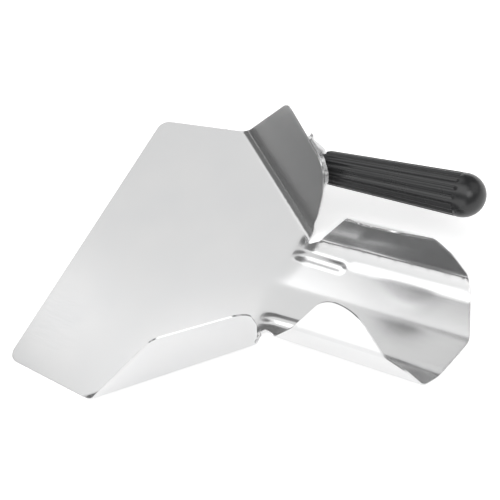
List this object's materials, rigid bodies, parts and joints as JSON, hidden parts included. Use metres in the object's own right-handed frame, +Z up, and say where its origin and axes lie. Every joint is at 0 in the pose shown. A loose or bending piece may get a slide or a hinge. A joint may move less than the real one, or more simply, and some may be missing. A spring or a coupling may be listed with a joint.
{
  "type": "fry bagging scoop",
  "caption": "Pressed stainless-steel scoop with a wide flat pan, raised side flanges, an open V-floored chute for filling bags and a fluted black side grip.",
  "frame": {"origin": "middle of the bounding box in X and Y, at the underside of the flat pan", "axes": "+X along the body's axis from the pan's front edge to the chute's outlet, +Y towards the handle, +Z up out of the pan"},
  "size_m": [0.268, 0.2142, 0.072],
  "materials": {
    "sheet_steel": "satin, fine brushed",
    "bracket_steel": "satin",
    "fastener_steel": "bright zinc",
    "collar_plastic": "matt moulded",
    "grip_plastic": "semi-gloss moulded"
  },
  "bodies": {
    "root": {"scoop_body": "sheet_steel", "handle_bracket": "bracket_steel", "handle_stud": "fastener_steel", "stud_nut": "fastener_steel", "lock_washer": "fastener_steel", "grip_collar": "collar_plastic", "handle_grip": "grip_plastic"}
  },
  "joints": []
}
